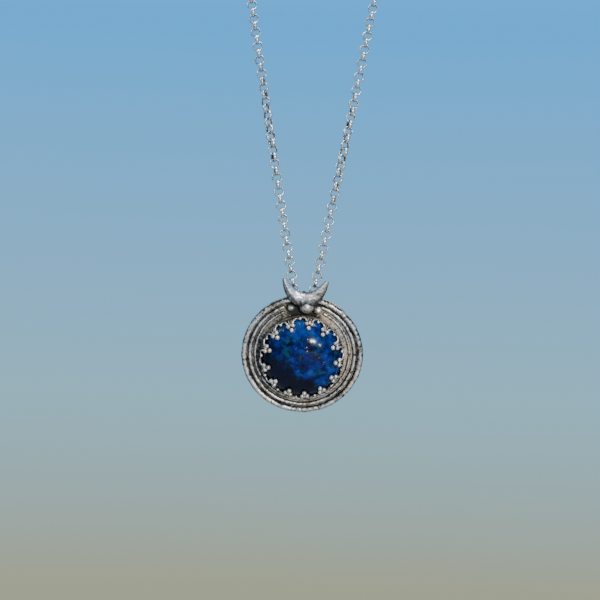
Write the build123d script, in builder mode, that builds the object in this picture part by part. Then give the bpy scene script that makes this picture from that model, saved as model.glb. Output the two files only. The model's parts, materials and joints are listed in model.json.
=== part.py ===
from build123d import *
import os
from math import asin, atan, atan2, ceil, cos, degrees, hypot, radians, sin, sqrt

os.makedirs("parts", exist_ok=True)

# Pendant necklace, hanging as it is worn. Millimetres, +Z up, the pendant's face towards -Y.
# The origin is the middle of the clasp, at the top of the chain's loop.

# ---- driving dimensions: the chain ----
link_inner_radius = 0.86
link_wire_radial = 0.38
link_wire_axial = 0.72
link_slack = 0.08  # free play between two links
bail_spread = 45.0  # lean of the chain where it leaves the bail ring
strand_lean_at_bail = 10.6  # degrees from the vertical
strand_links = 104  # links on each side before the chain bends round the neck
half_pendant_weight = 6.9  # grams carried by each strand
chain_weight = 0.0101  # grams in a millimetre of chain
twist_right = (18.0, 54.0)  # heights above the bail ring between which a strand turns by 90 degrees
twist_left = (24.0, 62.0)
hinge_links = [7, 15, 40, 52, 64, 76, 88, 100]  # links that the chain's bands swing about

# ---- driving dimensions: the pendant, r and w being radius and height above the plate's back ----
hang_tilt = 20.0  # the face leans forward by this much when the pendant hangs freely
plate_radius = 13.9
plate_thickness = 0.9
rim_wire_radius = 0.65
rim_ring_radius = 13.3
middle_wire_radius = 0.45
middle_ring_radius = 12.0
middle_wire_arc = (113, 320)  # where it starts, in degrees from +X, and how far it goes
inner_wire_radius = 0.33
inner_ring_radius = 10.82
inner_wire_arc = (115, 313)
wire_flat = 0.08  # filed off each wire where it is soldered down
scribed_radius = 9.6  # the border line on the plate's back
scribed_width = 0.3
crown_outer_radius = 9.5
crown_inner_radius = 9.2
crown_top = 4.4
prong_count = 13
first_prong_angle = 84.0
prong_gap = 0.05  # between a prong's balls and the stone
prong_ball_radius = 0.5
prong_ball_spread = 0.56
prong_thickness = 0.8
small_ball_radius = 0.3
small_ball_ring_radius = 9.3
pierced_hole_radius = 0.3
seat_inner_radius = 7.9
seat_top = 2.9
stone_radius = 9.1
girdle_top = 3.5
girdle_bevel = 0.2
dome_height = 4.4
bail_height = 11.9  # the bail ring's centre above the plate's centre, along the face
bail_standoff = 2.0  # and behind the plate's back
bail_wire_radius = 0.4
bail_ring_radius = 1.85

crescent_base = 1.75
crescent_depth = 1.7
crescent_outer = ((-0.25, 16.95), 5.0)  # centre on the face, and radius, of each circle of its outline
crescent_inner = ((-0.25, 20.2), 4.9)
crescent_rounding = 0.45

# ---- driving dimensions: the clasp ----
ring_wire_radius = 0.35
ring_radius = 1.9
ring_x = 5.6  # the rings' centres, left and right of the clasp's middle
clasp_thickness = 1.5
clasp_shift = -0.49
pivot = (1.9, -1.75)
pin_radius = 0.3
pin_play = 0.04
slot_half = 0.5
eye_half = 0.45
boss_radius = 0.7
lever_play = 0.08
gate = (-2.6, 0.9)  # the opening in the hook that the lever closes, along the clasp
spring_wire_radius = 0.055
spring_radius = 0.45

link_pitch = 2 * link_inner_radius - link_slack
link_mean_radius = link_inner_radius + link_wire_radial / 2


def strand_lean(climb):
    """Lean of a strand, in degrees, at a height above the bail: it hangs steeper where more chain pulls."""
    pull = half_pendant_weight * sin(radians(strand_lean_at_bail)) / cos(radians(strand_lean_at_bail))
    return degrees(atan(pull / (half_pendant_weight + chain_weight * climb)))


def smooth(value, low, high):
    t = min(1.0, max(0.0, (value - low) / (high - low)))
    return t * t * (3 - 2 * t)


# ---- where the links lie: centre (x, z) and heading from the vertical, on the right-hand side ----
centres = [(0.0, 0.0)]
headings = [90.0]
climb = 0.0
for index in range(1, strand_links + 1):
    lean = bail_spread if index <= 2 else strand_lean(climb)
    x, z = centres[-1]
    centres.append((x + link_pitch * sin(radians(lean)), z + link_pitch * cos(radians(lean))))
    headings.append(lean)
    climb += link_pitch

# the bend round the neck, tangent to the strands, up to the rings of the clasp
top_x, top_z = centres[-1]
top_lean = headings[-1]
neck_radius = top_x / cos(radians(top_lean))
neck_centre_z = top_z + neck_radius * sin(radians(top_lean))
ring_inner_radius = ring_radius - ring_wire_radius
last_link_reach = ring_inner_radius - link_wire_radial / 2 - 0.04 + link_mean_radius
last_angle = asin(ring_x / hypot(neck_radius, last_link_reach)) + atan(last_link_reach / neck_radius)
bend = 90.0 + top_lean - degrees(last_angle)
bend_links = 2 * ceil(radians(bend) * neck_radius / link_pitch / 2)
for step in range(1, bend_links + 1):
    angle = radians(-top_lean + bend * step / bend_links)
    centres.append((neck_radius * cos(angle), neck_centre_z + neck_radius * sin(angle)))
    headings.append(-degrees(angle))
link_count = len(centres) - 1
clasp_z = centres[-1][1] + last_link_reach * sin(last_angle)
bail_z = -clasp_z  # height of the link in the bail, once the clasp is at the origin
loop_length = 2 * (link_count * link_pitch + last_link_reach + ring_x)


def link_plane(index, side):
    """The plane of one link: its origin is the link's centre and its normal is the ring's axis."""
    x, z = centres[index]
    twist = twist_right if side > 0 else twist_left
    turn = 90.0 * (index % 2) + 90.0 * smooth(index * link_pitch, *twist)
    lean = headings[index]
    if index in (1, 2, 3):
        lean = [bail_spread, bail_spread, strand_lean_at_bail][index - 1]
    along = Vector(side * sin(radians(lean)), 0, cos(radians(lean)))
    across = Vector(side * cos(radians(lean)), 0, -sin(radians(lean)))
    axis = Vector(0, 1, 0) * cos(radians(turn)) + across * sin(radians(turn))
    return Plane(origin=(side * x, 0, z + bail_z), x_dir=along, z_dir=axis)


# one link: a closed ring of flattened wire with rounded edges
with BuildPart() as link:
    with BuildSketch(Plane.XZ):
        with Locations((link_mean_radius, 0)):
            SlotOverall(link_wire_axial, link_wire_radial, rotation=90)
    revolve(axis=Axis.Z)

# the links at the bail ring, which both strands share
with BuildPart() as chain_at_bail:
    at_bail = [link_plane(0, 1)]
    for index in range(1, hinge_links[0]):
        at_bail += [link_plane(index, 1), link_plane(index, -1)]
    with Locations(*at_bail):
        add(link.part)
chain_at_bail.part.label = "chain_at_bail"
export_step(chain_at_bail.part, "parts/chain_at_bail.step")

# the rest of the chain, in bands from one swinging link to the next, on the left and on the right
for band, first in enumerate(hinge_links, start=1):
    last = hinge_links[band] - 1 if band < len(hinge_links) else link_count
    for side, hand in ((-1, "left"), (1, "right")):
        with BuildPart() as chain_band:
            with Locations(*[link_plane(index, side) for index in range(first, last + 1)]):
                add(link.part)
        name = f"chain_{hand}_{band}" if band < len(hinge_links) else f"chain_top_{hand}"
        chain_band.part.label = name
        export_step(chain_band.part, f"parts/{name}.step")

# ---- the pendant ----
tilt = radians(hang_tilt)
bail_axis_z = bail_z - (bail_ring_radius - bail_wire_radius - link_mean_radius - link_wire_radial / 2 - 0.05)
face_up = Vector(0, -sin(tilt), cos(tilt))
face_out = Vector(0, -cos(tilt), -sin(tilt))
plate_origin = Vector(0, 0, bail_axis_z) - face_up * bail_height + face_out * bail_standoff
face = Plane(origin=plate_origin, x_dir=(1, 0, 0), z_dir=face_out)
front = face.offset(plate_thickness)
face_axis = Axis(face.origin, face.z_dir)


def radial_plane(angle):
    """A plane through the face's axis: local X is the radius at this angle, local Y is height w."""
    out = face.x_dir * cos(radians(angle)) + face.y_dir * sin(radians(angle))
    return Plane(origin=face.origin, x_dir=out, z_dir=out.cross(face.z_dir))


# back plate: a round sheet with a border line scribed on its back, inside the bail ring
with BuildPart() as back_plate:
    with BuildSketch(face):
        Circle(plate_radius)
    extrude(amount=plate_thickness)
    fillet(back_plate.edges().group_by(SortBy.LENGTH)[-1], 0.15)
    with BuildSketch(radial_plane(0)):
        with Locations((scribed_radius, 0)):
            Rectangle(scribed_width, scribed_width)
    revolve(axis=face_axis, mode=Mode.SUBTRACT)
back_plate.part.label = "back_plate"
export_step(back_plate.part, "parts/back_plate.step")

# granules, the crescent's ball and the solder bead stand on the plate, each on a small flat
balls = {
    "granule_left": (-3.3, 11.1, 0.78),
    "granule_right": (2.9, 10.75, 0.92),
    "crescent_ball": (0.2, 11.7, 1.5),
    "solder_bead": (1.85, 11.1, 0.5),
}
ball_parts = {}
for name, (x, v, radius) in balls.items():
    with BuildPart(front) as ball:
        with Locations((x, v, 0.85 * radius)):
            Sphere(radius)
        split(bisect_by=front, keep=Keep.TOP)
    ball_parts[name] = ball.part


def wire_section(ring_radius, wire_radius):
    """Round wire's section in a radial plane, filed flat where it lies on the plate."""
    with Locations((ring_radius, plate_thickness + wire_radius - wire_flat)):
        Circle(wire_radius)
    with Locations((ring_radius, plate_thickness + wire_radius)):
        Rectangle(2 * wire_radius, 2 * wire_radius, mode=Mode.INTERSECT)


# outer rim wire: a closed ring of round wire
with BuildPart() as outer_rim_wire:
    with BuildSketch(radial_plane(0)):
        wire_section(rim_ring_radius, rim_wire_radius)
    revolve(axis=face_axis)
outer_rim_wire.part.label = "outer_rim_wire"
export_step(outer_rim_wire.part, "parts/outer_rim_wire.step")

# middle and inner ring wires: open at the top, their right ends coped to the right granule
with BuildPart() as middle_ring_wire:
    with BuildSketch(radial_plane(middle_wire_arc[0])):
        wire_section(middle_ring_radius, middle_wire_radius)
    revolve(axis=face_axis, revolution_arc=middle_wire_arc[1])
    add(ball_parts["granule_right"], mode=Mode.SUBTRACT)
middle_ring_wire.part.label = "middle_ring_wire"
export_step(middle_ring_wire.part, "parts/middle_ring_wire.step")

with BuildPart() as inner_ring_wire:
    with BuildSketch(radial_plane(inner_wire_arc[0])):
        wire_section(inner_ring_radius, inner_wire_radius)
    revolve(axis=face_axis, revolution_arc=inner_wire_arc[1])
inner_ring_wire.part.label = "inner_ring_wire"
export_step(inner_ring_wire.part, "parts/inner_ring_wire.step")

for name in ("granule_left", "granule_right"):
    ball_parts[name].label = name
    export_step(ball_parts[name], f"parts/{name}.step")

with BuildPart() as crescent_ball:
    add(ball_parts["crescent_ball"])
    add(outer_rim_wire.part, mode=Mode.SUBTRACT)
crescent_ball.part.label = "crescent_ball"
export_step(crescent_ball.part, "parts/crescent_ball.step")

with BuildPart() as solder_bead:
    add(ball_parts["solder_bead"])
    add(ball_parts["granule_right"], mode=Mode.SUBTRACT)
    add(ball_parts["crescent_ball"], mode=Mode.SUBTRACT)
solder_bead.part.label = "solder_bead"
export_step(solder_bead.part, "parts/solder_bead.step")

# crescent: two circles' difference, puffed towards the front, saddled over the rim wire and the ball
with BuildPart() as crescent:
    with BuildSketch(face.offset(crescent_base)):
        with Locations(crescent_outer[0]):
            Circle(crescent_outer[1])
        with Locations(crescent_inner[0]):
            Circle(crescent_inner[1], mode=Mode.SUBTRACT)
    extrude(amount=crescent_depth)
    fillet(crescent.faces().sort_by(face_axis)[-1].edges(), crescent_rounding)
    add(outer_rim_wire.part, mode=Mode.SUBTRACT)
    add(ball_parts["crescent_ball"], mode=Mode.SUBTRACT)
crescent.part.label = "crescent"
export_step(crescent.part, "parts/crescent.step")


def over_dome(radius, gap):
    """The point at a distance outside the stone's dome, straight out from the dome at this radius."""
    rise = dome_height * sqrt(1 - (radius / stone_radius) ** 2)
    steep = atan2(dome_height**2 * radius, stone_radius**2 * rise)
    return radius + gap * sin(steep), girdle_top + rise + gap * cos(steep)


# stone: a round cabochon with a flat base, a short girdle and an elliptical dome
with BuildPart() as stone:
    with BuildSketch(radial_plane(0)):
        with BuildLine():
            Polyline(
                (0, girdle_top + dome_height),
                (0, seat_top),
                (stone_radius - girdle_bevel, seat_top),
                (stone_radius, seat_top + girdle_bevel),
                (stone_radius, girdle_top),
            )
            Spline(
                (stone_radius, girdle_top),
                over_dome(stone_radius * cos(radians(30)), 0),
                over_dome(stone_radius * cos(radians(60)), 0),
                (0, girdle_top + dome_height),
                tangents=((0, 1), (-1, 0)),
            )
        make_face()
    revolve(axis=face_axis)
stone.part.label = "stone"
export_step(stone.part, "parts/stone.step")

# the seat under the stone's edge
with BuildPart() as stone_seat_ring:
    with BuildSketch(radial_plane(0)):
        with BuildLine():
            Polyline(
                (seat_inner_radius, plate_thickness),
                (crown_inner_radius - 0.03, plate_thickness),
                (crown_inner_radius - 0.03, seat_top),
                (seat_inner_radius, seat_top),
                close=True,
            )
        make_face()
    revolve(axis=face_axis)
stone_seat_ring.part.label = "stone_seat_ring"
export_step(stone_seat_ring.part, "parts/stone_seat_ring.step")

# crown: a collar, pierced between the prongs, with three-ball prongs bent in over the dome
with BuildPart() as bezel_crown:
    with BuildSketch(radial_plane(0)):
        with BuildLine():
            Polyline(
                (crown_inner_radius, plate_thickness),
                (crown_outer_radius, plate_thickness),
                (crown_outer_radius, crown_top - 0.15),
                (crown_outer_radius - 0.15, crown_top),
                (crown_inner_radius, crown_top),
                close=True,
            )
        make_face()
    revolve(axis=face_axis)
    for number in range(prong_count):
        angle = first_prong_angle + number * 360 / prong_count
        leaf = radial_plane(angle)
        with BuildSketch(leaf):
            with BuildLine():
                # up the inside of the collar, in over the dome, and back outside
                Polyline(
                    (crown_inner_radius + 0.05, crown_top - 0.3),
                    over_dome(8.9, 0.25),
                    over_dome(8.4, 0.12),
                    over_dome(7.6, 0.1),
                    over_dome(7.6, 0.5),
                    over_dome(8.4, 0.55),
                    (crown_outer_radius - 0.05, crown_top - 0.1),
                    close=True,
                )
            make_face()
        extrude(amount=prong_thickness / 2, both=True)
        tip_r, tip_w = over_dome(7.45, prong_gap + prong_ball_radius)
        side_r, side_w = over_dome(8.15, prong_gap + prong_ball_radius)
        with Locations(leaf):
            with Locations(
                (tip_r, tip_w, 0),
                (side_r, side_w, prong_ball_spread),
                (side_r, side_w, -prong_ball_spread),
            ):
                Sphere(prong_ball_radius)
        between = radial_plane(angle + 180 / prong_count)
        with Locations(between):
            with Locations((small_ball_ring_radius, crown_top + small_ball_radius / 3, 0)):
                Sphere(small_ball_radius)
            with Locations((small_ball_ring_radius, crown_top - 0.8, 0)):
                Cylinder(pierced_hole_radius, 1.2, rotation=(0, 90, 0), mode=Mode.SUBTRACT)
bezel_crown.part.label = "bezel_crown"
export_step(bezel_crown.part, "parts/bezel_crown.step")

# bail ring: a closed ring of round wire on the plate's back, filed flat where it is soldered
with BuildPart(Plane(origin=(0, 0, bail_axis_z), z_dir=(1, 0, 0))) as bail_ring:
    Torus(bail_ring_radius, bail_wire_radius)
    split(bisect_by=face, keep=Keep.BOTTOM)
bail_ring.part.label = "bail_ring"
export_step(bail_ring.part, "parts/bail_ring.step")

# ---- the clasp, flat on the neck at the top of the loop ----
for side, name in ((-1, "clasp_end_ring"), (1, "clasp_jump_ring")):
    with BuildPart(Plane(origin=(side * ring_x, 0, 0), z_dir=(0, 1, 0))) as ring:
        Torus(ring_radius, ring_wire_radius)
    ring.part.label = name
    export_step(ring.part, f"parts/{name}.step")

clasp = Plane(origin=(clasp_shift, 0, 0), x_dir=(1, 0, 0), z_dir=(0, 0, 1))
clasp_half = clasp_thickness / 2

# the clasp's outline from above, round at the hook and slimmer at the eye, with the hook's hole in it
with BuildSketch() as clasp_outline:
    with BuildLine():
        Spline((-4.7, 0), (-1.4, 2.75), (2.2, 2.05), (5.5, 0), (2.2, -2.25), (-1.4, -2.75), periodic=True)
    make_face()
    with Locations((-1.2, 0)):
        Ellipse(2.5, 1.55, mode=Mode.SUBTRACT)

# clasp body: a flat hook with an eye, a slot for the lever and a hole for its pin
with BuildPart(clasp) as clasp_body:
    with BuildSketch(clasp):
        add(clasp_outline.sketch)
        with Locations((3.9, 0)):
            Circle(0.75, mode=Mode.SUBTRACT)
    extrude(amount=clasp_half, both=True)
    for height_order in (0, -1):
        for edge_order, radius in ((-1, 0.3), (-2, 0.3), (-3, 0.15)):
            rims = clasp_body.faces().sort_by(Axis.Z)[height_order].edges().sort_by(SortBy.LENGTH)
            fillet(rims[edge_order], radius)
    for height in (eye_half, -eye_half):
        with BuildSketch(clasp.offset(height)):
            with Locations((4.5, 0)):
                Rectangle(3, 4)
        extrude(amount=height, mode=Mode.SUBTRACT)
    with BuildSketch(clasp):
        with Locations(((gate[0] + gate[1]) / 2, -2)):
            Rectangle(gate[1] - gate[0], 4)
    extrude(amount=clasp_half, both=True, mode=Mode.SUBTRACT)
    with BuildSketch(clasp):
        with Locations(pivot):
            Circle(1.15)
        with Locations((2.1, -3.0)):
            Rectangle(2.4, 2.4)
    extrude(amount=slot_half, both=True, mode=Mode.SUBTRACT)
    with Locations(pivot):
        Cylinder(pin_radius, clasp_thickness, mode=Mode.SUBTRACT)
clasp_body.part.label = "clasp_body"
export_step(clasp_body.part, "parts/clasp_body.step")

# lever: closes the hook, turns on the pin, and has a thumb tab that stands out of the slot
with BuildPart(clasp) as clasp_lever:
    with BuildSketch(clasp):
        add(clasp_outline.sketch)
        with Locations(((gate[0] + lever_play + 0.3) / 2, -2)):
            Rectangle(0.3 - gate[0] - lever_play, 4, mode=Mode.INTERSECT)
    extrude(amount=clasp_half - 0.05, both=True)
    fillet(clasp_lever.edges().filter_by(GeomType.LINE, reverse=True), 0.2)
    with BuildSketch(clasp.offset(-slot_half + 0.05)):
        with Locations(pivot):
            Circle(boss_radius)
        with BuildLine():
            Polyline(
                (-0.2, -1.6),
                (1.6, -1.15),
                (2.5, -1.5),
                (3.0, -2.7),
                (2.3, -3.1),
                (1.5, -2.4),
                (-0.2, -2.5),
                close=True,
            )
        make_face()
    extrude(amount=slot_half - 0.07)
    with Locations(pivot):
        Cylinder(pin_radius + pin_play, clasp_thickness, mode=Mode.SUBTRACT)
clasp_lever.part.label = "clasp_lever"
export_step(clasp_lever.part, "parts/clasp_lever.step")

with BuildPart(clasp) as clasp_pin:
    with Locations(pivot):
        Cylinder(pin_radius, clasp_thickness)
clasp_pin.part.label = "clasp_pin"
export_step(clasp_pin.part, "parts/clasp_pin.step")

# lever spring: a small coil round the pin, in the slot above the lever
spring_plane = Plane(origin=(clasp_shift + pivot[0], pivot[1], 0.09), x_dir=(1, 0, 0), z_dir=(0, 0, 1))
with BuildPart() as clasp_spring:
    with BuildLine(spring_plane) as spring_path:
        Helix(pitch=0.13, height=0.33, radius=spring_radius)
    with BuildSketch(spring_path.line ^ 0):
        Circle(spring_wire_radius)
    sweep(path=spring_path.line)
clasp_spring.part.label = "clasp_spring"
export_step(clasp_spring.part, "parts/clasp_spring.step")

print("links", 2 * link_count + 1, "on each side", link_count, "strand", strand_links, "bend", bend_links)
print("neck radius", neck_radius, "loop length", loop_length, "bail axis z", bail_axis_z)
print("hinge heights", [round(centres[i][1] + bail_z, 4) for i in hinge_links])
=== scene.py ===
import json
import math

import bmesh
import bpy
import numpy as np
from mathutils import Matrix, Vector, noise


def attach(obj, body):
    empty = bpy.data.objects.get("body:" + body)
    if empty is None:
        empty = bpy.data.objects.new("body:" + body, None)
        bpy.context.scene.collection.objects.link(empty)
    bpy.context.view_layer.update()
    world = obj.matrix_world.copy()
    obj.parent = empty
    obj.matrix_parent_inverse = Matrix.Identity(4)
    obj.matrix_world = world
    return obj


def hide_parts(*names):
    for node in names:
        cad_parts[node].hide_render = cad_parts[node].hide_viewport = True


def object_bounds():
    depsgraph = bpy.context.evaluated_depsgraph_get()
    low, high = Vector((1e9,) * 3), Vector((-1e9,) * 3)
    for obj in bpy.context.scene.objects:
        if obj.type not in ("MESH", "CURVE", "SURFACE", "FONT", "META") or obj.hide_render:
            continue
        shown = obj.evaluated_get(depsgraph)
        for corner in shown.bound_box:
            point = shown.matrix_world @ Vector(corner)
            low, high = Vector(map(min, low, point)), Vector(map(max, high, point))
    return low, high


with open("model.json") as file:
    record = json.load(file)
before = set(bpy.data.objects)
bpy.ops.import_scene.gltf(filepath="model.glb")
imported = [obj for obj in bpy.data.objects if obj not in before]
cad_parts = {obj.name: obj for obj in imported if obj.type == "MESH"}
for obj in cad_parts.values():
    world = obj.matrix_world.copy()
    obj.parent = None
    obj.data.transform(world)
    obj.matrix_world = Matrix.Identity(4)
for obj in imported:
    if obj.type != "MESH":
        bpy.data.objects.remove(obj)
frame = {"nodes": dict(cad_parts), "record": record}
cad_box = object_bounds()

# ---------------------------------------------------------------------------------------------
# Camera: a long lens in front of the pendant, looking up at it a little. The plate's back face
# gives the frame that the front pieces are made in: X right, Y up the face, Z out of it.
# ---------------------------------------------------------------------------------------------
mounts = {mount["name"]: mount for mount in frame["record"]["mounts"]}
back_axis = Vector(mounts["back_face"]["axis"])
plate_centre = Vector(mounts["back_face"]["pos_m"])
face_out = -back_axis
face_up = face_out.cross(Vector((1, 0, 0)))
face = Matrix((Vector((1, 0, 0)), face_up, face_out)).transposed().to_4x4()
face.translation = plate_centre
mm = 0.001
askew = math.radians(-2.3)  # the pendant hangs a little turned in its own plane
face = face @ Matrix.Rotation(askew, 4, "Z")

camera_rise = math.radians(-4.6)  # the camera looks up at the face by this much
camera_roll = math.radians(1.7)
camera_distance = 0.383
aim_left = 0.5
aim_up = 12.5
rim_height = 1.5
view = Vector((0, math.cos(camera_rise), -math.sin(camera_rise)))
level_up = Vector((1, 0, 0)).cross(view)
right = Vector((1, 0, 0)) * math.cos(camera_roll) + level_up * math.sin(camera_roll)
up = level_up * math.cos(camera_roll) - Vector((1, 0, 0)) * math.sin(camera_roll)
rim_centre = face @ Vector((0, 0, rim_height * mm))
aim = rim_centre - right * aim_left * mm + up * aim_up * mm
camera = bpy.data.objects.new("camera", bpy.data.cameras.new("camera"))
camera.data.lens = 100
camera.data.sensor_width = 36
camera.data.clip_start = 0.01
camera.matrix_world = Matrix((right, up, -view)).transposed().to_4x4()
camera.location = aim - view * camera_distance
bpy.context.scene.collection.objects.link(camera)
bpy.context.scene.camera = camera


# ---------------------------------------------------------------------------------------------
# Floor and light: a pale floor well below the pendant. The main light and a smaller one are in
# front and to the right, weaker ones are above and on the left, and a soft blue sky lies all
# round for the silver to reflect.
# ---------------------------------------------------------------------------------------------
class Sock:
    """A node socket that combines with others and with numbers through Math nodes."""

    def __init__(self, socket):
        self.socket = socket
        self.tree = socket.id_data

    def node(self, kind, settings, inputs, output=0):
        """Adds a node: its settings first, then the values or links of its sockets."""
        return add_node(self.tree, kind, settings, inputs, output)

    def math(self, operation, *others):
        inputs = dict(enumerate((self, *others)))
        return self.node("ShaderNodeMath", {"operation": operation}, inputs)

    def __add__(self, other):
        return self.math("ADD", other)

    def __mul__(self, other):
        return self.math("MULTIPLY", other)

    def __sub__(self, other):
        return self.math("SUBTRACT", other)

    def __rsub__(self, other):
        return self.math("MULTIPLY", -1.0).math("ADD", other)

    def __truediv__(self, other):
        return self.math("DIVIDE", other)

    __radd__ = __add__
    __rmul__ = __mul__

    def between(self, low, high, smooth=True):
        """This value's place from low to high, as 0 to 1."""
        kind = {"interpolation_type": "SMOOTHSTEP" if smooth else "LINEAR"}
        return self.node("ShaderNodeMapRange", kind, {0: self, 1: low, 2: high})


def add_node(tree, kind, settings, inputs, output=0):
    """A new node in the tree, as the socket of one of its outputs."""
    made = tree.nodes.new(kind)
    for key, value in settings.items():
        if key == "stops":
            ramp = made.color_ramp.elements
            for place, colour in value[2:]:
                ramp.new(place)
            for element, (place, colour) in zip(ramp, value):
                element.position = place
                element.color = (*colour, 1)
        else:
            setattr(made, key, value)
    for key, value in inputs.items():
        if isinstance(value, Sock):
            tree.links.new(value.socket, made.inputs[key])
        else:
            made.inputs[key].default_value = value
    return Sock(made.outputs[output])


def new_material(name):
    """A material with its Principled shader and a socket of Object coordinates."""
    made = bpy.data.materials.new(name)
    made.use_nodes = True
    shader = made.node_tree.nodes["Principled BSDF"]
    place = add_node(made.node_tree, "ShaderNodeTexCoord", {}, {}, 3)
    return made, shader, place


def mix_colour(factor, first, second):
    """Colour first where the factor is 0 and second where it is 1."""
    first, second = (side if isinstance(side, Sock) else (*side, 1) for side in (first, second))
    kind = {"data_type": "RGBA", "clamp_factor": True}
    return factor.node("ShaderNodeMix", kind, {0: factor, 6: first, 7: second}, 2)


def noise_at(place, scale, detail=4.0, roughness=0.55):
    """Cloudy noise from 0 to 1, finer at a larger scale."""
    settings = {"Scale": scale, "Detail": detail, "Roughness": roughness, "Vector": place}
    return place.node("ShaderNodeTexNoise", {}, settings)


def feed(shader, **inputs):
    """Links or sets the shader's inputs, named with _ for a space."""
    for key, value in inputs.items():
        name = key.replace("_", " ")
        if isinstance(value, Sock):
            value.tree.links.new(value.socket, shader.inputs[name])
        else:
            shader.inputs[name].default_value = value


floor_drop = 0.3
floor_half = 2.2
floor_z = cad_box[0][2] - floor_drop
floor_mesh = bpy.data.meshes.new("floor")
corners = ((-1, -1), (1, -1), (1, 1), (-1, 1))
corners = [(x * floor_half, y * floor_half, floor_z) for x, y in corners]
floor_mesh.from_pydata(corners, [], [(0, 1, 2, 3)])
floor = bpy.data.objects.new("floor", floor_mesh)
bpy.context.scene.collection.objects.link(floor)
floor_paint, floor_shader, floor_place = new_material("pale floor")
floor_tone = noise_at(floor_place, 3.0).between(0.3, 0.7)
floor_colour = mix_colour(floor_tone, (0.34, 0.345, 0.34), (0.37, 0.375, 0.37))
feed(floor_shader, Base_Color=floor_colour, Roughness=0.7)
floor_mesh.materials.append(floor_paint)

world = bpy.data.worlds.new("studio")
bpy.context.scene.world = world
world.use_nodes = True
background = world.node_tree.nodes["Background"]
sky_way = add_node(world.node_tree, "ShaderNodeTexCoord", {}, {}, 0)
sky_height = add_node(world.node_tree, "ShaderNodeSeparateXYZ", {}, {0: sky_way}, 2)
sky_stops = [
    (0.0, (0.1, 0.1, 0.1)),
    (0.4, (0.36, 0.38, 0.34)),
    (0.455, (0.4, 0.43, 0.3)),
    (0.51, (0.31, 0.58, 0.72)),
    (0.62, (0.07, 0.50, 1.15)),
    (1.0, (0.75, 0.8, 0.86)),
]
sky_ramp = sky_height.between(-1.0, 1.0, smooth=False)
sky_colour = sky_ramp.node("ShaderNodeValToRGB", {"stops": sky_stops}, {0: sky_ramp})
world.node_tree.links.new(sky_colour.socket, background.inputs[0])
background.inputs[1].default_value = 1.0


def soft_light(name, way, distance, width, height, power, colour):
    """An area light in a direction from the pendant, turned to it."""
    lamp = bpy.data.lights.new(name, "AREA")
    lamp.shape = "RECTANGLE"
    lamp.size = width
    lamp.size_y = height
    lamp.energy = power
    lamp.color = colour
    made = bpy.data.objects.new(name, lamp)
    made.location = rim_centre + Vector(way).normalized() * distance
    made.rotation_euler = (-Vector(way)).to_track_quat("-Z", "Y").to_euler()
    bpy.context.scene.collection.objects.link(made)


soft_light("key light", (0.3, -0.96, 0.0), 1.0, 0.13, 0.06, 9.0, (1.0, 0.96, 0.9))
soft_light("small light", (0.5, -0.86, -0.10), 1.0, 0.04, 0.03, 1.2, (1.0, 0.97, 0.94))
soft_light("top light", (0.25, -0.35, 0.9), 0.9, 0.3, 0.3, 8.0, (1.0, 0.98, 0.94))
soft_light("left light", (-0.8, -0.2, 0.5), 0.9, 0.25, 0.25, 3.0, (0.95, 0.98, 1.0))


# ---------------------------------------------------------------------------------------------
# Rim wires: three round silver wires soldered flat to the plate, the inner two open under the
# crescent. Their tops are worn bright, and the grooves between them are black with oxide.
# ---------------------------------------------------------------------------------------------
def crest_of_mesh(place):
    """The mesh's crest attribute: how proud each spot stands of its hollows, and on some pieces
    painted light and shade.
    """
    return place.node("ShaderNodeAttribute", {"attribute_name": "crest"}, {}, 2)


def silver(name, bright, dark, wear_and_light_range, pit_depth=0.04, rough=0.3, proud=crest_of_mesh):
    """Old silver: bright where it is rubbed and where a crest paints a highlight, near black in the
    hollows and in painted shade, pitted and scratched.
    """
    made, shader, place = new_material(name)
    broad = noise_at(place, 330.0, 5.0, 0.6)
    fine = noise_at(place, 1700.0, 6.0, 0.65)
    stretch = {0: place, 2: (0.4, 0.7, 0.5), 3: (9000.0, 700.0, 900.0)}
    stretched = place.node("ShaderNodeMapping", {}, stretch)
    scratch = noise_at(stretched, 1.0, 3.0, 0.5).between(0.56, 0.7)
    pits = place.node("ShaderNodeTexVoronoi", {}, {"Vector": place, "Scale": 2000.0})
    pitted = pits.between(0.36, 0.1) * noise_at(place, 600.0).between(0.47, 0.6)
    patchy = (broad - 0.5) * 1.2 + (fine - 0.5) * 2.2 - pitted * 0.8
    # The crest is wear on most pieces, but a painted highlight and painted shade on the crescent
    # and the chain links.
    rubbed_and_painted_light = (proud(place) + patchy).between(*wear_and_light_range)
    red, green, blue = bright
    bluish = (red * 0.93, green * 0.95, blue)
    yellowish = (red, green * 0.93, blue * 0.84)
    tint = mix_colour(noise_at(place, 140.0, 2.0).between(0.4, 0.62), bluish, yellowish)
    feed(shader, Base_Color=mix_colour(rubbed_and_painted_light, dark, tint), Metallic=0.5 + rubbed_and_painted_light * 0.5)
    feed(shader, Roughness=rough + (1 - rubbed_and_painted_light) * 0.25 + fine * 0.14 + scratch * 0.08)
    height = fine * 0.35 + broad * 0.6 - pitted * 1.0 - scratch * 0.2
    bumps = {"Strength": 1.0, "Distance": pit_depth * mm, "Height": height}
    feed(shader, Normal=height.node("ShaderNodeBump", {}, bumps))
    return made


pendant_silver = silver(
    "worn oxidised silver", (0.76, 0.73, 0.68), (0.008, 0.009, 0.008), wear_and_light_range=(0.28, 1.1)
)


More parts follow.
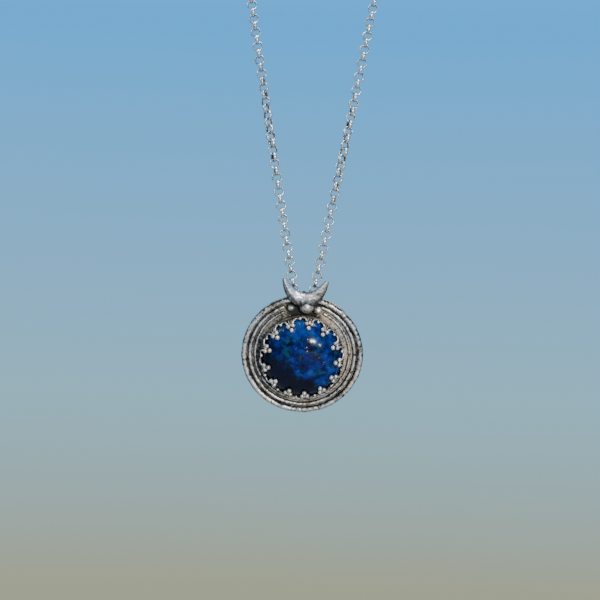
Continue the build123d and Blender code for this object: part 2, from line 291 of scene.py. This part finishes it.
def piece(name, points, faces, crest, paint, turn=face):
    """A smooth-shaded mesh object from points in millimetres, moved to their place by turn."""
    mesh = bpy.data.meshes.new(name)
    mesh.from_pydata([turn @ (Vector(point) * mm) for point in points], [], faces)
    layer = mesh.attributes.new("crest", "FLOAT", "POINT")
    layer.data.foreach_set("value", [float(value) for value in crest])
    work = bmesh.new()
    work.from_mesh(mesh)
    bmesh.ops.remove_doubles(work, verts=work.verts, dist=0.001 * mm)
    bmesh.ops.recalc_face_normals(work, faces=work.faces)
    for polygon in work.faces:
        polygon.smooth = True
    work.to_mesh(mesh)
    work.free()
    mesh.materials.append(paint)
    made = bpy.data.objects.new(name, mesh)
    bpy.context.scene.collection.objects.link(made)
    return made


def rings(loops, closed_way, capped):
    """Faces that join equal closed loops of points, one after another."""
    count = len(loops[0])
    points = [point for loop in loops for point in loop]
    faces = []
    for number in range(len(loops) if closed_way else len(loops) - 1):
        here = number * count
        there = (number + 1) % len(loops) * count
        for step in range(count):
            after = (step + 1) % count
            faces.append((here + step, here + after, there + after, there + step))
    if capped:
        faces.append(tuple(range(count)))
        faces.append(tuple(range(len(points) - count, len(points))))
    return points, faces


def uneven(point, size, depth):
    """A small dent or swelling, the same each time for the same point."""
    return noise.noise(Vector(point) / size) * depth


plate_top = 0.9
wire_seat = 0.94  # height of a wire's middle above the plate, in wire radii
wire_sides = 18
whole_ring_steps = 300
blunt_end = 0.55  # an open wire's end, in wire radii


def ring_wire(name, ring_radius, wire_radius, start, arc, bump):
    """A ring of round wire on the plate, open and blunt-ended where its arc isn't whole."""
    loops = []
    crest = []
    steps = int(whole_ring_steps * arc / 360)
    whole = arc == 360
    for number in range(steps if whole else steps + 1):
        angle = math.radians(start + arc * number / steps)
        taper = 1.0
        if not whole:
            end = min(number, steps - number) * math.radians(arc) / steps * ring_radius
            taper = blunt_end + (1 - blunt_end) * math.sqrt(min(1.0, end / wire_radius))
        loop = []
        for side in range(wire_sides):
            turn = 2 * math.pi * side / wire_sides
            radius = wire_radius * taper
            r = ring_radius + radius * math.cos(turn)
            w = plate_top + wire_radius * wire_seat + radius * math.sin(turn)
            point = (r * math.cos(angle), r * math.sin(angle), w)
            swell = uneven(point, 1.6, bump) + uneven(point, 0.6, bump * 0.4)
            r += swell * math.cos(turn)
            w = max(plate_top - 0.02, w + swell * math.sin(turn))
            loop.append((r * math.cos(angle), r * math.sin(angle), w))
            crest.append(-0.2 + math.sin(turn))
        loops.append(loop)
    points, faces = rings(loops, whole, not whole)
    made = piece(name, points, faces, crest, pendant_silver)
    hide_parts(name.replace("_looks", ""))
    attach(made, "pendant")


ring_wire("outer_rim_wire_looks", 13.3, 0.65, 0, 360, 0.1)
ring_wire("middle_ring_wire_looks", 12.0, 0.46, 113, 320, 0.08)
ring_wire("inner_ring_wire_looks", 10.82, 0.33, 115, 313, 0.04)


# ---------------------------------------------------------------------------------------------
# Back plate, seat and bail ring: plain silver sheet and wire, as the frame has them. The plate's
# floor shows as a smooth worn band between the wires and the setting.
# ---------------------------------------------------------------------------------------------
recess_middle = Vector((-0.3 * mm, 12.0 * mm, 1.0 * mm))


def sheet_recess_and_painted_light(place):
    """Flat silver: dark in the recess under the crescent, and painted brighter towards the right as
    painted light.
    """
    recess = {0: place, 1: tuple(face @ recess_middle)}
    away = place.node("ShaderNodeVectorMath", {"operation": "DISTANCE"}, recess, 1)
    painted_light_to_right = place.node("ShaderNodeSeparateXYZ", {}, {0: place}, 0)
    # Painted light: the sheet, the solder and the clasp are made brighter towards the right.
    return away.between(0.003, 0.0052) * (0.55 + 0.35 * painted_light_to_right.between(-0.011, 0.011)) - 0.1


plate_silver = silver(
    "dulled silver sheet", (0.62, 0.54, 0.46), (0.02, 0.022, 0.018),
    wear_and_light_range=(0.1, 1.2), rough=0.42, proud=sheet_recess_and_painted_light,
)
for name in ("back_plate", "stone_seat_ring", "bail_ring"):
    node = frame["nodes"][name]
    node.data.materials.clear()
    node.data.materials.append(plate_silver)


# ---------------------------------------------------------------------------------------------
# Stone: a round cabochon of lapis, cut with a flat base and a high polished dome. Deep blue with
# paler and greener clouds, black patches, and specks of gold-coloured pyrite.
# ---------------------------------------------------------------------------------------------
stone_radius = 9.1
dome_height = 4.4
girdle_top = 3.5
stone_base = 2.9


def lapis():
    """Blue stone, its clouds and veins bent by a slow warp, blacker at the lower left."""
    made, shader, place = new_material("polished lapis")
    slow = {"Vector": place, "Scale": 150.0, "Detail": 3.0}
    warp = place.node("ShaderNodeTexNoise", {}, slow, 1)
    shifted = place.node("ShaderNodeMix", {"data_type": "VECTOR"}, {0: 0.004, 4: place, 5: warp}, 1)
    clouds = noise_at(shifted, 330.0, 12.0, 0.72)
    veins = noise_at(shifted, 480.0, 9.0, 0.72)
    stops = [
        (0.4, (0.0004, 0.001, 0.012)),
        (0.49, (0.0006, 0.006, 0.07)),
        (0.56, (0.001, 0.014, 0.15)),
        (0.7, (0.012, 0.09, 0.24)),
    ]
    blue = clouds.node("ShaderNodeValToRGB", {"stops": stops}, {0: clouds})
    green = veins.between(0.49, 0.61) * 0.85
    blue = mix_colour(green, blue, (0.002, 0.04, 0.09))
    shadow_way = face.to_3x3() @ Vector((-0.62, -0.78, 0))
    centred = {0: place, 1: tuple(plate_centre)}
    centred = place.node("ShaderNodeVectorMath", {"operation": "SUBTRACT"}, centred)
    shaded = {0: centred, 1: tuple(shadow_way)}
    shaded = place.node("ShaderNodeVectorMath", {"operation": "DOT_PRODUCT"}, shaded, 1)
    patches = (noise_at(place, 190.0, 8.0, 0.66) - 0.5) * 3.0
    black = (shaded * (1 / (stone_radius * mm)) + patches).between(-0.05, 0.5)
    blue = mix_colour(black * 0.93, blue, (0.0005, 0.0005, 0.004))
    pale = noise_at(shifted, 800.0, 6.0, 0.75).between(0.58, 0.72)
    pale = pale * clouds.between(0.48, 0.6) * (1 - black)
    blue = mix_colour(pale * 0.7, blue, (0.12, 0.26, 0.42))
    specks = place.node("ShaderNodeTexVoronoi", {}, {"Vector": place, "Scale": 1300.0})
    gold = specks.between(0.24, 0.12) * noise_at(place, 380.0, 3.0).between(0.59, 0.63)
    gold = gold * (1 - black)
    feed(shader, Base_Color=mix_colour(gold, blue, (0.3, 0.22, 0.13)), Metallic=gold * 0.5)
    feed(shader, Roughness=0.09 + gold * 0.2 + noise_at(place, 1400.0) * 0.08)
    feed(shader, Specular_IOR_Level=0.17)
    height = noise_at(place, 420.0, 4.0)
    bumps = {"Strength": 0.5, "Distance": 0.03 * mm, "Height": height}
    feed(shader, Normal=height.node("ShaderNodeBump", {}, bumps))
    return made


base_bevel = 0.2
pole = 0.02  # the outline stops this far from the stone's axis, and a small face closes it
dome_steps = 30
around = 112
outline = [
    (pole, stone_base),
    (stone_radius - base_bevel, stone_base),
    (stone_radius, stone_base + base_bevel),
]
for part in range(dome_steps + 1):
    height = math.radians(90 / dome_steps * part)
    radius = max(pole, stone_radius * math.cos(height))
    outline.append((radius, girdle_top + dome_height * math.sin(height)))
points = []
faces = []
for number in range(around):
    angle = 2 * math.pi * number / around
    points += [(r * math.cos(angle), r * math.sin(angle), w) for r, w in outline]
    here = number * len(outline)
    there = (number + 1) % around * len(outline)
    for step in range(len(outline) - 1):
        faces.append((here + step, here + step + 1, there + step + 1, there + step))
faces.append(tuple(number * len(outline) for number in range(around)))
faces.append(tuple(number * len(outline) + len(outline) - 1 for number in range(around)))
stone = piece("lapis_cabochon", points, faces, [1.0] * len(points), lapis())
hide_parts("stone")
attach(stone, "pendant")


# ---------------------------------------------------------------------------------------------
# Crown: a plain collar of silver strip soldered round the stone, whose top is worked into arches.
# Two bent wires rise from each side of a prong and end in three balls that press on the dome, and
# a single ball sits on each low arch between prongs.
# ---------------------------------------------------------------------------------------------
crown_inner = 9.2
crown_outer = 9.5
crown_top = 4.25
prongs = 13
first_prong = 84.0


def above_dome(radius, gap):
    """The point this far out from the dome at this radius."""
    rise = dome_height * math.sqrt(1 - (radius / stone_radius) ** 2)
    steep = math.atan2(dome_height**2 * radius, stone_radius**2 * rise)
    return radius + gap * math.sin(steep), girdle_top + rise + gap * math.cos(steep)


def tube(path, radii, sides, crest_low=0.2):
    """A capped tube through points, with the crest highest on the side that faces outwards."""
    loops = []
    crest = []
    path = [Vector(point) for point in path]
    for number, point in enumerate(path):
        along = (path[min(number + 1, len(path) - 1)] - path[max(number - 1, 0)]).normalized()
        across = along.cross(Vector((0, 0, 1)))
        across = across.normalized() if across.length > 0.001 else Vector((0, 1, 0))
        outward = across.cross(along)
        loop = []
        for side in range(sides):
            turn = 2 * math.pi * side / sides
            way = across * math.cos(turn) + outward * math.sin(turn)
            loop.append(tuple(point + way * radii[number]))
            crest.append(crest_low + (0.75 - crest_low) * (0.5 + 0.5 * math.sin(turn)))
        loops.append(loop)
    points, faces = rings(loops, False, True)
    return points, faces, crest


def ball(centre, radius, around=14, up_and_down=9, dent=0.0):
    """A closed ball of quads, brightest at its outer pole."""
    points = [(centre[0], centre[1], centre[2] - radius)]
    crest = [0.0]
    for ring in range(1, up_and_down):
        height = math.pi * ring / up_and_down - math.pi / 2
        wide = math.cos(height)
        for step in range(around):
            turn = 2 * math.pi * step / around
            way = Vector((wide * math.cos(turn), wide * math.sin(turn), math.sin(height)))
            swell = 1 + uneven(Vector(centre) + way * radius, radius * 0.9, dent)
            points.append(tuple(Vector(centre) + way * radius * swell))
            crest.append(0.2 + 0.75 * math.sin(height))
    points.append((centre[0], centre[1], centre[2] + radius))
    crest.append(1.0)
    faces = [(0, 1 + (step + 1) % around, 1 + step) for step in range(around)]
    for ring in range(up_and_down - 2):
        here = 1 + ring * around
        for step in range(around):
            after = (step + 1) % around
            faces.append((here + step, here + after, here + around + after, here + around + step))
    last = len(points) - 1
    edge = last - around
    faces += [(last, edge + step, edge + (step + 1) % around) for step in range(around)]
    return points, faces, crest


def joined(shapes):
    """Several shapes' points, faces and crests as one shape's."""
    points, faces, crest = [], [], []
    for shape_points, shape_faces, shape_crest in shapes:
        start = len(points)
        points += shape_points
        faces += [tuple(start + corner for corner in polygon) for polygon in shape_faces]
        crest += shape_crest
    return points, faces, crest


def curve_through(start, pull, end, steps):
    """Points on a bend from start to end that leans towards pull."""
    start, pull, end = Vector(start), Vector(pull), Vector(end)
    way = [number / steps for number in range(steps + 1)]
    return [start * (1 - t) ** 2 + pull * 2 * t * (1 - t) + end * t**2 for t in way]


tip_ball = 0.55
side_ball = 0.53
side_spread = 0.56
filler_ball = 0.45
arch_ball = 0.37
arch_ring = 9.3
tip_r, tip_w = above_dome(7.45, 0.5)
side_r, side_w = above_dome(8.15, 0.62)
half_gap = math.radians(180 / prongs)
arch_x, arch_y = arch_ring * math.cos(half_gap), arch_ring * math.sin(half_gap)
arch_w = crown_top + 0.28
shapes = [ball((tip_r, 0, tip_w), tip_ball)]
shapes += [ball((side_r, hand * side_spread, side_w), side_ball) for hand in (1, -1)]
shapes.append(ball((side_r + 0.1, 0, side_w - 0.3), filler_ball, 10, 7))
shapes.append(ball((arch_x, arch_y, arch_w), arch_ball, 12, 8))
for hand in (1, -1):
    foot = (9.38, hand * 1.55, crown_top - 0.25)
    head = (side_r + 0.3, hand * 0.6, side_w - 0.12)
    stem = curve_through(foot, (9.6, hand * 0.75, crown_top + 0.9), head, 8)
    shapes.append(tube(stem, [0.25, 0.24, 0.23, 0.22, 0.22, 0.22, 0.24, 0.26, 0.26], 8, -0.5))
    inner_foot = (9.3, hand * 0.3, crown_top - 0.3)
    inner_head = (side_r + 0.1, hand * 0.12, side_w - 0.2)
    inner_stem = curve_through(inner_foot, (9.2, hand * 0.25, crown_top + 0.6), inner_head, 6)
    shapes.append(tube(inner_stem, [0.22] * 7, 6, -2.2))
    arch_end = (arch_x, hand * arch_y, arch_w - 0.25)
    arch = curve_through(foot, (9.42, hand * 1.9, crown_top - 0.05), arch_end, 4)
    shapes.append(tube(arch, [0.15, 0.13, 0.11, 0.11, 0.11], 7, -1.6))
crown_silver = silver(
    "antiqued silver", (0.8, 0.72, 0.62), (0.014, 0.014, 0.009),
    wear_and_light_range=(0.0, 1.15), pit_depth=0.02, rough=0.26,
)
prong = piece("prong", *joined(shapes), crown_silver, Matrix.Identity(4))


def new_tree(name, inputs):
    """An empty Geometry Nodes tree with these named inputs, and the sockets they arrive on."""
    tree = bpy.data.node_groups.new(name, "GeometryNodeTree")
    for label, kind in inputs.items():
        tree.interface.new_socket(label, in_out="INPUT", socket_type="NodeSocket" + kind)
    tree.interface.new_socket("Geometry", in_out="OUTPUT", socket_type="NodeSocketGeometry")
    entry = tree.nodes.new("NodeGroupInput")
    return tree, {socket.name: Sock(socket) for socket in entry.outputs if socket.name}


def end_tree(tree, placed, paint):
    """Makes the instances real, paints them, and ends the tree with them."""
    real = add_node(tree, "GeometryNodeRealizeInstances", {}, {"Geometry": placed})
    painted = {"Geometry": real, "Material": paint}
    painted = add_node(tree, "GeometryNodeSetMaterial", {}, painted)
    result = tree.nodes.new("NodeGroupOutput")
    tree.links.new(painted.socket, result.inputs["Geometry"])


prong_inputs = {
    "Prong": "Object",
    "Count": "Int",
    "First angle": "Float",
    "Unevenness": "Float",
    "Silver": "Material",
}
chance_seed = 4
tree, given = new_tree("prongs round the stone", prong_inputs)
line = add_node(tree, "GeometryNodeMeshLine", {}, {"Count": given["Count"], "Offset": (0, 0, 0)})
index = add_node(tree, "GeometryNodeInputIndex", {}, {})
chance = {0: (-1, -1, -1), 1: (1, 1, 1), "ID": index, "Seed": chance_seed}
chance = add_node(tree, "FunctionNodeRandomValue", {"data_type": "FLOAT_VECTOR"}, chance)
lean = {0: chance, "Scale": given["Unevenness"]}
lean = add_node(tree, "ShaderNodeVectorMath", {"operation": "SCALE"}, lean)
turn = index / given["Count"] * (2 * math.pi) + given["First angle"]
upright = add_node(tree, "ShaderNodeCombineXYZ", {}, {2: turn})
turned = add_node(tree, "ShaderNodeVectorMath", {"operation": "ADD"}, {0: upright, 1: lean})
shape = add_node(tree, "GeometryNodeObjectInfo", {}, {"Object": given["Prong"]}, 4)
placed = {"Points": line, "Instance": shape, "Rotation": turned}
placed = add_node(tree, "GeometryNodeInstanceOnPoints", {}, placed)
end_tree(tree, placed, given["Silver"])


def grown(name, tree, mesh, values):
    """The plain mesh that a node tree makes from a mesh, with its inputs set by name."""
    carrier = bpy.data.objects.new(name + "_carrier", mesh)
    bpy.context.scene.collection.objects.link(carrier)
    modifier = carrier.modifiers.new("build", "NODES")
    modifier.node_group = tree
    for socket in tree.interface.items_tree:
        if socket.in_out == "INPUT" and socket.name in values:
            modifier[socket.identifier] = values[socket.name]
    carrier.update_tag()
    bpy.context.view_layer.update()
    depsgraph = bpy.context.evaluated_depsgraph_get()
    made = bpy.data.meshes.new_from_object(carrier.evaluated_get(depsgraph), depsgraph=depsgraph)
    bpy.data.objects.remove(carrier)
    made.name = name
    return made


prong_values = {
    "Prong": prong,
    "Count": prongs,
    "First angle": math.radians(first_prong),
    "Unevenness": 0.02,
    "Silver": crown_silver,
}
prong_mesh = grown("prongs", tree, bpy.data.meshes.new("start"), prong_values)
prong_mesh.transform(face)
bpy.data.objects.remove(prong)

collar_steps = 260
collar_lift = 0.12  # its top rises this much at each prong and dips as much between
collar = [
    (crown_inner, plate_top),
    (crown_outer, plate_top),
    (crown_outer, 2.4),
    (crown_outer + 0.05, 3.4),
    (crown_outer - 0.02, crown_top - 0.2),
    (crown_outer - 0.2, crown_top),
    (crown_inner + 0.15, crown_top),
    (crown_inner, crown_top - 0.15),
    (crown_inner, 3.0),
]
loops = []
crest = []
for number in range(collar_steps):
    angle = 2 * math.pi * number / collar_steps
    swing = math.cos(prongs * (angle - math.radians(first_prong)))
    loop = []
    for r, w in collar:
        lift = collar_lift * swing if w > 3.0 else 0
        dent = uneven((r * math.cos(angle), r * math.sin(angle), w), 1.1, 0.07)
        loop.append(((r + dent) * math.cos(angle), (r + dent) * math.sin(angle), w + lift))
        crest.append(0.4 if r > 9.4 and w < crown_top - 0.3 else -1.5)
    loops.append(loop)
points, faces = rings(loops, True, False)
crown = piece("bezel_crown_looks", points, faces, crest, crown_silver)
work = bmesh.new()
work.from_mesh(crown.data)
work.from_mesh(prong_mesh)
for polygon in work.faces:
    polygon.smooth = True
    polygon.material_index = 0
work.to_mesh(crown.data)
work.free()
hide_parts("bezel_crown")
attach(crown, "pendant")


# ---------------------------------------------------------------------------------------------
# Crescent: cast solid, puffed in front and flat behind, its tips up and rounded. It is saddled
# over the rim wires and hides the bail ring. Its face is hammered and pitted.
# ---------------------------------------------------------------------------------------------
crescent_silver = silver(
    "hammered silver", (0.8, 0.77, 0.73), (0.02, 0.022, 0.02),
    wear_and_light_range=(-0.2, 1.25), pit_depth=0.06, rough=0.22,
)
crescent_base = 1.75
crescent_depth = 2.1
full_half_width = 1.58  # half the width, across the horn, that has the full depth
crescent_sides = 32
left_stretch = 1.03  # the left horn is a little longer
# half of the edge: a point of the lower side and one of the upper side, from the middle to a tip
edges = [
    ((0.0, 11.3), (0.0, 14.9)),
    ((1.2, 11.55), (0.8, 14.95)),
    ((2.4, 12.2), (1.45, 15.15)),
    ((3.4, 13.05), (2.1, 15.5)),
    ((4.15, 14.05), (2.7, 16.0)),
    ((4.7, 15.2), (3.25, 16.55)),
    ((5.0, 16.3), (3.75, 17.1)),
    ((5.15, 17.2), (4.2, 17.6)),
]
crescent_middle = -0.35


def along(values, t):
    """A smooth curve through the values, at t in steps from the first."""
    number = min(len(values) - 2, int(t))
    t -= number
    last = len(values) - 1
    near = [values[min(last, abs(number + step))] for step in (-1, 0, 1, 2)]
    before, first, second, after = (Vector(value) for value in near)
    if number == 0:
        before = Vector((-second[0], second[1]))
    slope = (second - before) / 2
    next_slope = (after - first) / 2
    bend = (2 * t**3 - 3 * t**2 + 1) * first + (t**3 - 2 * t**2 + t) * slope
    return bend + (3 * t**2 - 2 * t**3) * second + (t**3 - t**2) * next_slope


half_steps = 63
tip_steps = 8
halves = []
lower, upper = zip(*edges)
for number in range(half_steps + 1):
    t = (len(edges) - 1) * number / half_steps
    low, high = along(lower, t), along(upper, t)
    halves.append(((low + high) / 2, (high - low) / 2, 1.0))
middle, half, shrink = halves[-1]
onward = Vector((-half.y, half.x)).normalized()
onward = onward if onward.y > 0 else -onward
for number in range(1, tip_steps + 1):
    turn = math.pi / 2 * number / tip_steps
    tip = middle + onward * half.length * 1.1 * math.sin(turn)
    halves.append((tip, half, max(0.03, math.cos(turn))))
loops = []
crest = []
strip = [(-1, *entry) for entry in reversed(halves[1:])] + [(1, *entry) for entry in halves]
for hand, middle, half, shrink in strip:
    width = half.length * shrink
    depth = crescent_depth * min(1.0, (half.length / full_half_width) ** 0.45) * shrink
    loop = []
    for side in range(crescent_sides):
        turn = 2 * math.pi * side / crescent_sides
        across = -math.cos(turn)
        front = math.sin(turn)
        rise = depth * front**0.8 if front > 0 else 0.3 * front * min(1.0, width)
        spot = middle + half * across * shrink
        base = crescent_base + (1 - shrink) * 0.4
        stretch = left_stretch if hand < 0 else 1
        point = Vector((hand * spot.x * stretch + crescent_middle, spot.y, base + rise))
        if front > 0:
            dints = uneven(point, 1.3, 0.4) * min(1, width) * front
            point.z += dints + uneven(point, 0.5, 0.1) * front * shrink
        loop.append(tuple(point))
        # Painted light: a painted highlight along the upper inner edge, stronger on the left horn,
        # and painted shade on the lower edge and on the sides turned away from the front.
        painted_upper_highlight = (1.1 - 0.3 * hand) * max(0.0, across) * max(0.0, front) ** 0.5
        crest.append(-0.4 + 0.6 * max(0.0, front) + painted_upper_highlight)
    loops.append(loop)
points, faces = rings(loops, False, True)
crescent = piece("crescent_looks", points, faces, crest, crescent_silver)
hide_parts("crescent")
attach(crescent, "pendant")


# ---------------------------------------------------------------------------------------------
# Balls and granules: melted beads of silver fused to the plate, one large under the crescent and
# a small one each side of it, and a bead of solder that flowed beside the right one.
# ---------------------------------------------------------------------------------------------
# The solder's tone follows the sheet's painted light, which makes it brighter towards the right.
solder = silver(
    "coppery solder", (0.7, 0.5, 0.45), (0.06, 0.035, 0.03),
    wear_and_light_range=(0.4, 0.85), rough=0.35, proud=sheet_recess_and_painted_light,
)
beads = {
    "crescent_ball": ((0.2, 11.7, plate_top + 1.32), 1.62, crown_silver),
    "granule_left": ((-3.3, 10.95, plate_top + 0.66), 0.8, crown_silver),
    "granule_right": ((2.9, 10.85, plate_top + 0.8), 0.97, crown_silver),
    "solder_bead": ((1.95, 11.2, plate_top + 0.75), 0.7, solder),
}
for name, (centre, radius, paint) in beads.items():
    made = piece(name + "_looks", *ball(centre, radius, 36, 24, 0.09), paint)
    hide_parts(name)
    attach(made, "pendant")


# ---------------------------------------------------------------------------------------------
# Chain: belcher links, closed rings of flattened silver wire, each through the next. They lie
# where the frame's own links lie, and every band of links is one mesh.
# ---------------------------------------------------------------------------------------------
chain_silver = silver(
    "silver chain", (0.7, 0.68, 0.64), (0.04, 0.04, 0.036),
    wear_and_light_range=(0.1, 1.0), pit_depth=0.01, rough=0.17,
)
link_radius = 1.05
link_thickness = 0.38
link_width = 0.74


def link_places(node):
    """Centre and axis of each ring in one node of the frame."""
    work = bmesh.new()
    work.from_mesh(node.data)
    bmesh.ops.remove_doubles(work, verts=work.verts, dist=0.002 * mm)
    seen = set()
    places = []
    for first in work.verts:
        if first in seen:
            continue
        seen.add(first)
        island = [first]
        for vertex in island:
            for edge in vertex.link_edges:
                other = edge.other_vert(vertex)
                if other not in seen:
                    seen.add(other)
                    island.append(other)
        spots = np.array([vertex.co for vertex in island])
        low, high = spots.min(0), spots.max(0)
        centre = (low + high) / 2
        offsets = spots - spots.mean(0)
        flattest = np.linalg.eigh(offsets.T @ offsets)[1][:, 0]
        places.append((centre, flattest))
    work.free()
    return places


link_inputs = {
    "Geometry": "Geometry",
    "Link radius": "Float",
    "Wire thickness": "Float",
    "Wire width": "Float",
    "Silver": "Material",
}
tree, given = new_tree("chain links", link_inputs)
circle = "GeometryNodeCurvePrimitiveCircle"
ring = add_node(tree, circle, {}, {"Resolution": 22, "Radius": given["Link radius"]})
section = add_node(tree, circle, {}, {"Resolution": 8, "Radius": 0.5})
size = {0: given["Wire thickness"], 1: given["Wire width"], 2: 1.0}
size = add_node(tree, "ShaderNodeCombineXYZ", {}, size)
section = add_node(tree, "GeometryNodeTransform", {}, {"Geometry": section, "Scale": size})
link = add_node(tree, "GeometryNodeCurveToMesh", {}, {"Curve": ring, "Profile Curve": section})
link = add_node(tree, "GeometryNodeSetShadeSmooth", {}, {0: link})
spot = add_node(tree, "GeometryNodeInputPosition", {}, {})
far = spot.node("ShaderNodeVectorMath", {"operation": "LENGTH"}, {0: spot}, 1)
# Painted shade: each link is darker towards its inside, where the next link passes through, and
# bright on its outer rim.
inside, outside = (link_radius - 0.25) * mm, (link_radius + 0.2) * mm
link_rim_and_painted_shade = far.between(inside, outside, smooth=False)
on_points = {"data_type": "FLOAT", "domain": "POINT"}
link = {"Geometry": link, "Name": "crest", "Value": link_rim_and_painted_shade}
link = add_node(tree, "GeometryNodeStoreNamedAttribute", on_points, link)
vectors = {"data_type": "FLOAT_VECTOR"}
axis = add_node(tree, "GeometryNodeInputNamedAttribute", vectors, {"Name": "axis"})
facing = add_node(tree, "FunctionNodeAlignRotationToVector", {"axis": "Z"}, {"Vector": axis})
placed = {"Points": given["Geometry"], "Instance": link, "Rotation": facing}
placed = add_node(tree, "GeometryNodeInstanceOnPoints", {}, placed)
end_tree(tree, placed, given["Silver"])

link_values = {
    "Link radius": link_radius * mm,
    "Wire thickness": link_thickness * mm,
    "Wire width": link_width * mm,
    "Silver": chain_silver,
}
for body, nodes in frame["record"]["behaviour"]["bodies"].items():
    names = [name for name in nodes if name.startswith("chain_")]
    if not names:
        continue
    places = [place for name in names for place in link_places(frame["nodes"][name])]
    start = bpy.data.meshes.new("link places")
    start.from_pydata([tuple(centre) for centre, axis in places], [], [])
    layer = start.attributes.new("axis", "FLOAT_VECTOR", "POINT")
    layer.data.foreach_set("vector", [float(value) for centre, axis in places for value in axis])
    name = body + "_links"
    made = bpy.data.objects.new(name, grown(name, tree, start, link_values))
    bpy.context.scene.collection.objects.link(made)
    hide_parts(*names)
    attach(made, body)


# ---------------------------------------------------------------------------------------------
# Clasp: a cast lobster clasp with its pinned lever and coil spring, and a ring at each end of
# the chain, all polished bright. They keep the frame's shapes.
# ---------------------------------------------------------------------------------------------
# The clasp's tone follows the sheet's painted light, which makes it brighter towards the right.
clasp_silver = silver(
    "polished clasp silver", (0.78, 0.78, 0.77), (0.3, 0.3, 0.3),
    wear_and_light_range=(0.0, 0.5), pit_depth=0.008, rough=0.16, proud=sheet_recess_and_painted_light,
)
for kind in ("body", "lever", "pin", "spring", "end_ring", "jump_ring"):
    node = frame["nodes"]["clasp_" + kind]
    node.data.materials.clear()
    node.data.materials.append(clasp_silver)
